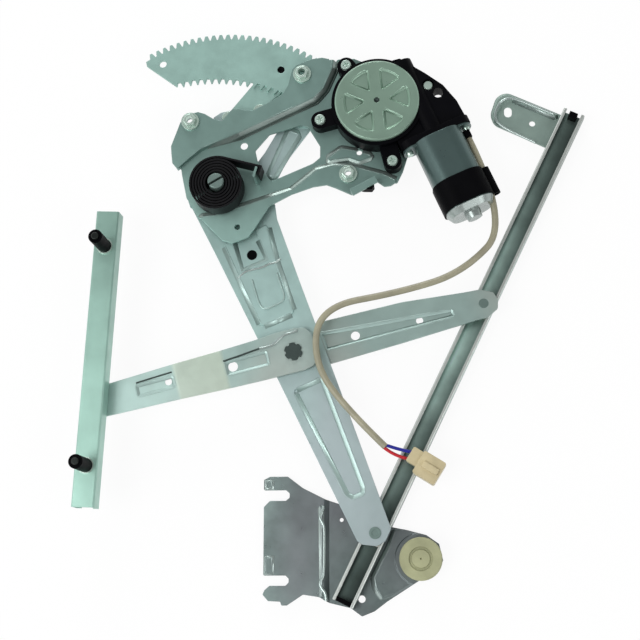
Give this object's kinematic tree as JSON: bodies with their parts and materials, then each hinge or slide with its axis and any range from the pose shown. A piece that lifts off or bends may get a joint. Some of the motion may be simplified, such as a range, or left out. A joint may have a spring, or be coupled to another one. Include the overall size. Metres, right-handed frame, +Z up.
{
  "type": "window regulator",
  "caption": "Motor-driven scissor window regulator: toothed sector on a lift arm, crossed arm, two sliding channels, geared motor on a pressed base plate and a trailing cable.",
  "frame": {"origin": "middle of the floor rectangle under the rigid parts, which lie flat", "axes": "+Z up out of the sheet-metal planes towards the cabin side, +Y along the longest extent towards the motor end, +X towards the long channel"},
  "size_m": [0.4186, 0.4914, 0.0765],
  "materials": {
    "base_steel": "zinc-plated, satin",
    "arm_steel": "zinc-plated, satin",
    "sector_steel": "zinc-plated, satin",
    "cross_steel": "zinc-plated, satin",
    "channel_steel": "zinc-plated, satin",
    "bracket_steel": "zinc-plated, satin",
    "pin_steel": "machined, satin",
    "spring_steel": "black oxide",
    "can_steel": "satin",
    "cover_metal": "die-cast, satin",
    "black_plastic": "moulded, satin",
    "shoe_plastic": "moulded",
    "roller_plastic": "moulded",
    "gear_plastic": "moulded",
    "rubber_black": "matt",
    "jacket": "satin",
    "wire_blue": "satin",
    "wire_red": "satin",
    "connector_plastic": "moulded",
    "magnet": "ground",
    "armature_steel": "laminated"
  },
  "bodies": {
    "frame": {"base_plate": "base_steel", "weld_nut_left": "pin_steel", "weld_nut_top": "pin_steel", "weld_nut_lower": "pin_steel", "bump_stop": "rubber_black", "gearbox_housing": "black_plastic", "gearbox_cover": "cover_metal", "housing_screws": "pin_steel", "motor_can": "can_steel", "flange_screws": "pin_steel", "motor_band": "rubber_black", "motor_cap": "black_plastic", "magnets": "magnet", "brush_holder": "black_plastic", "cable_gland": "rubber_black", "cable": "jacket", "wire_blue": "wire_blue", "wire_red": "wire_red", "connector": "connector_plastic"},
    "lift_arm": {"lift_arm": "arm_steel", "arm_plug": "rubber_black", "sector_gear": "sector_steel", "sector_rivets": "pin_steel", "pivot_pin": "pin_steel", "pivot_washer": "pin_steel", "lower_slider_pin": "pin_steel", "counter_spring": "spring_steel"},
    "cross_arm": {"cross_arm_front": "cross_steel", "cross_arm_rear": "cross_steel", "centre_rivet": "pin_steel", "upper_slider_pin": "pin_steel", "guide_slider_pin": "pin_steel"},
    "lower_shoe": {"lower_shoe": "shoe_plastic"},
    "upper_shoe": {"upper_shoe": "shoe_plastic"},
    "lift_channel": {"lift_channel": "channel_steel", "channel_stops": "black_plastic", "upper_bracket": "bracket_steel", "lower_bracket": "bracket_steel", "roller_pin": "pin_steel"},
    "glass_roller": {"glass_roller": "roller_plastic"},
    "guide_shoe": {"guide_shoe": "shoe_plastic"},
    "guide_channel": {"guide_channel": "channel_steel", "guide_studs": "pin_steel", "stud_sleeves": "rubber_black"},
    "output_gear": {"output_pinion": "pin_steel", "worm_wheel": "gear_plastic"},
    "armature": {"armature": "armature_steel", "worm": "pin_steel"}
  },
  "joints": [
    {"name": "lift_pivot", "type": "hinge", "parent": "frame", "child": "lift_arm", "pos_m": [-0.09634, 0.10368, 0.026], "axis": [0, 0, 1], "range_deg": [-84, 0], "deforming": ["counter_spring"]},
    {"name": "cross_pivot", "type": "hinge", "parent": "lift_arm", "child": "cross_arm", "pos_m": [-0.03451, -0.03518, 0.01875], "axis": [0, 0, 1], "range_deg": [0, 168]},
    {"name": "lower_shoe_turn", "type": "hinge", "parent": "lift_arm", "child": "lower_shoe", "pos_m": [0.03057, -0.18135, 0.009], "axis": [0, 0, 1], "range_deg": [0, 84]},
    {"name": "upper_shoe_turn", "type": "hinge", "parent": "cross_arm", "child": "upper_shoe", "pos_m": [0.12073, 0.00352, 0.009], "axis": [0, 0, 1], "range_deg": [-84, 0]},
    {"name": "lift_channel_slide", "type": "slide", "parent": "upper_shoe", "child": "lift_channel", "axis": [0.4384, 0.8988, 0], "range_m": [-0.1394, 0]},
    {"name": "roller_turn", "type": "hinge", "parent": "lift_channel", "child": "glass_roller", "pos_m": [0.06616, -0.20133, 0.01], "axis": [0, 0, 1], "continuous": true},
    {"name": "guide_shoe_turn", "type": "hinge", "parent": "cross_arm", "child": "guide_shoe", "pos_m": [-0.19558, -0.07534, 0.036], "axis": [0, 0, 1], "range_deg": [-8, 45]},
    {"name": "guide_channel_slide", "type": "slide", "parent": "guide_shoe", "child": "guide_channel", "axis": [0.0488, 0.9988, 0], "range_m": [-0.035, 0.03]},
    {"name": "output_turn", "type": "hinge", "parent": "frame", "child": "output_gear", "pos_m": [0.03666, 0.17086, 0.035], "axis": [0, 0, 1], "range_deg": [0, 1470]},
    {"name": "armature_turn", "type": "hinge", "parent": "frame", "child": "armature", "pos_m": [0.066, 0.18362, 0.037], "axis": [0.3987, -0.9171, 0], "range_deg": [0, 88200]}
  ],
  "couplings": [
    {"joint": "cross_pivot", "follows": "lift_pivot", "ratio": -2},
    {"joint": "lower_shoe_turn", "follows": "lift_pivot", "ratio": -1},
    {"joint": "upper_shoe_turn", "follows": "lift_pivot", "ratio": 1},
    {"joint": "lift_channel_slide", "follows": "lift_pivot", "m_per_rad": 0.095},
    {"joint": "output_turn", "follows": "lift_pivot", "ratio": -17.5},
    {"joint": "armature_turn", "follows": "lift_pivot", "ratio": -1050}
  ]
}
